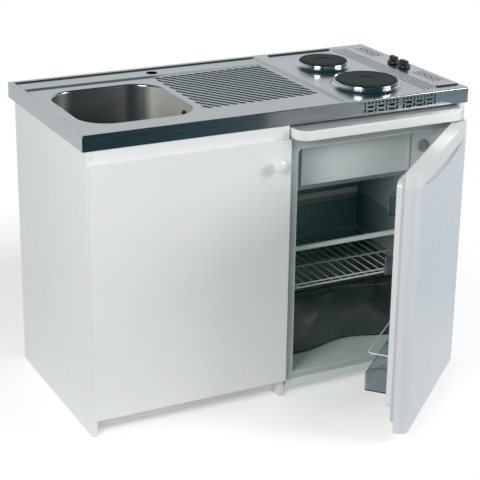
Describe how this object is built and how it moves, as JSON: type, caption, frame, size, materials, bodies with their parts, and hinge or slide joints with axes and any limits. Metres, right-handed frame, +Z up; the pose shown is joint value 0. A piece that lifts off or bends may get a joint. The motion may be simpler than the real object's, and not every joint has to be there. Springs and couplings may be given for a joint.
{
  "type": "kitchenette unit with sink and hob",
  "caption": "Compact kitchen unit: a steel worktop with sink, drainer and hotplates over a one-door cabinet and a built-under refrigerator with swinging door",
  "frame": {"origin": "on the floor at the middle of the worktop's footprint, on the foot of the middle panel", "axes": "+X to the right along the worktop's length, +Y to the rear wall, +Z up; the doors face -Y"},
  "size_m": [1.2, 0.9969, 0.892],
  "materials": {
    "white_board": "melamine-faced board, satin",
    "white_plastic": "smooth moulded plastic",
    "steel": "satin stainless sheet",
    "zinc_steel": "zinc-plated steel",
    "bright_steel": "polished stainless steel",
    "cast_iron": "machined cast iron with dark coating",
    "dark_plastic": "black moulded plastic",
    "ivory_plastic": "heat-proof plastic",
    "white_enamel": "white painted sheet steel",
    "liner_plastic": "vacuum-formed plastic",
    "grey_plastic": "grey moulded plastic",
    "black_enamel": "black enamelled steel",
    "aluminium_sheet": "bare aluminium sheet",
    "clear_glass": "clear shelf glass",
    "white_wire": "plastic-coated wire",
    "clear_plastic": "clear moulded plastic",
    "rubber_grey": "soft magnetic gasket",
    "rubber_dark": "black rubber"
  },
  "bodies": {
    "unit": {"left_panel": "white_board", "middle_panel": "white_board", "right_panel": "white_board", "base_board": "white_board", "back_panel": "white_board", "front_rail": "white_board", "rear_rail": "white_board", "bay_rail": "white_board", "plinth": "white_board", "bottle_trap": "white_plastic", "overflow_pipe": "white_plastic", "fridge_cover": "white_plastic", "control_housing": "white_plastic", "cover_caps": "white_plastic", "worktop": "steel", "sink_bowl": "steel", "basket_waste": "steel", "hinge_arms": "zinc_steel", "clamp_bridges": "zinc_steel", "heat_shield": "zinc_steel", "hinge_bottom": "zinc_steel", "hinge_top": "zinc_steel", "rim_front": "bright_steel", "rim_rear_plate": "bright_steel", "plug_chain": "bright_steel", "hotplate_front": "cast_iron", "hotplate_rear": "cast_iron", "overflow_rosette": "dark_plastic", "switch_bodies": "ivory_plastic", "terminal_box": "ivory_plastic", "fridge_cabinet": "white_enamel", "fridge_liner": "liner_plastic", "fridge_frame": "grey_plastic", "fridge_feet": "grey_plastic", "compressor": "black_enamel", "condenser": "black_enamel", "freezer_box": "aluminium_sheet", "glass_shelf": "clear_glass", "crisper_cover": "clear_glass", "wire_shelf": "white_wire", "sink_plug": "rubber_dark"},
    "cabinet_door": {"cabinet_door": "white_board", "door_knob": "white_plastic", "hinge_cups": "zinc_steel"},
    "fridge_door": {"fridge_door": "white_enamel", "door_grip_cap": "white_plastic", "door_liner": "white_plastic", "door_gasket": "rubber_grey", "rack_top": "clear_plastic", "rack_middle": "clear_plastic", "rack_bottom": "clear_plastic", "bottle_wire": "white_wire"},
    "freezer_flap": {"freezer_flap": "white_plastic"},
    "crisper": {"crisper": "clear_plastic"},
    "knob_rear": {"knob_rear": "dark_plastic", "spindle_rear": "zinc_steel"},
    "knob_front": {"knob_front": "dark_plastic", "spindle_front": "zinc_steel"},
    "thermostat_dial": {"thermostat_dial": "grey_plastic"}
  },
  "joints": [
    {"name": "cabinet_door_hinge", "type": "hinge", "parent": "unit", "child": "cabinet_door", "pos_m": [-0.586, -0.315, 0.42], "axis": [0, 0, -1], "range_deg": [0, 105]},
    {"name": "fridge_door_hinge", "type": "hinge", "parent": "unit", "child": "fridge_door", "pos_m": [0.556, -0.327, 0.4], "axis": [0, 0, 1], "range_deg": [-42, 73]},
    {"name": "freezer_flap_hinge", "type": "hinge", "parent": "unit", "child": "freezer_flap", "pos_m": [0.274, -0.223, 0.617], "axis": [1, 0, 0], "range_deg": [0, 33]},
    {"name": "crisper_slide", "type": "slide", "parent": "unit", "child": "crisper", "axis": [0, -1, 0], "range_m": [0, 0.065]},
    {"name": "knob_rear_turn", "type": "hinge", "parent": "unit", "child": "knob_rear", "pos_m": [0.556, 0.038, 0.88], "axis": [0, 0, 1], "continuous": true},
    {"name": "knob_front_turn", "type": "hinge", "parent": "unit", "child": "knob_front", "pos_m": [0.556, -0.02, 0.88], "axis": [0, 0, 1], "continuous": true},
    {"name": "thermostat_turn", "type": "hinge", "parent": "unit", "child": "thermostat_dial", "pos_m": [0.502, -0.23, 0.684], "axis": [0, -1, 0], "range_deg": [0, 270]}
  ]
}
